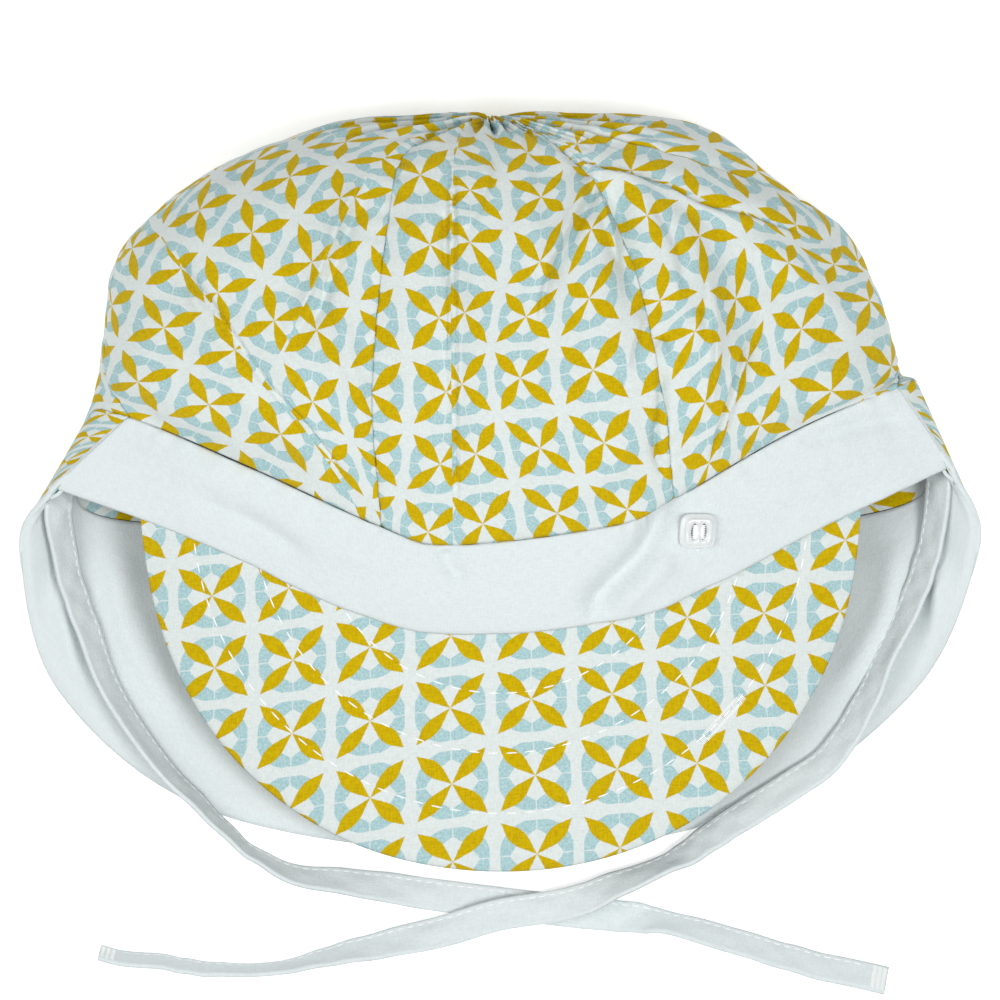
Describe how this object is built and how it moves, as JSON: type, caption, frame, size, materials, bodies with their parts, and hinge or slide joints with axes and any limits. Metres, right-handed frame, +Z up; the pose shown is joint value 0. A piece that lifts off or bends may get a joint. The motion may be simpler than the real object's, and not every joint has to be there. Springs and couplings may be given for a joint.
{
  "type": "baby sun hat",
  "caption": "Soft cotton baby sun hat with a gored crown, turned-up front band, quilted peak, lined neck flap and flat ties, lying flat.",
  "frame": {"origin": "centre of the bounding box of the hat without its ties, on the surface it lies on", "axes": "+X to the right of the front as it lies face up, +Y from the peak towards the top of the crown, +Z up from the surface"},
  "size_m": [0.2375, 0.2184, 0.0594],
  "materials": {
    "printed_cotton": "matt",
    "white_cotton": "matt",
    "clear_plastic": "gloss"
  },
  "bodies": {
    "root": {"crown_front": "printed_cotton", "crown_front_left": "printed_cotton", "crown_front_right": "printed_cotton", "crown_back_left": "printed_cotton", "crown_back": "printed_cotton", "crown_back_right": "printed_cotton", "front_band": "white_cotton", "peak": "printed_cotton", "neck_flap": "printed_cotton", "flap_lining": "white_cotton", "tie_left": "white_cotton", "tie_right": "white_cotton", "button": "clear_plastic"}
  },
  "joints": []
}
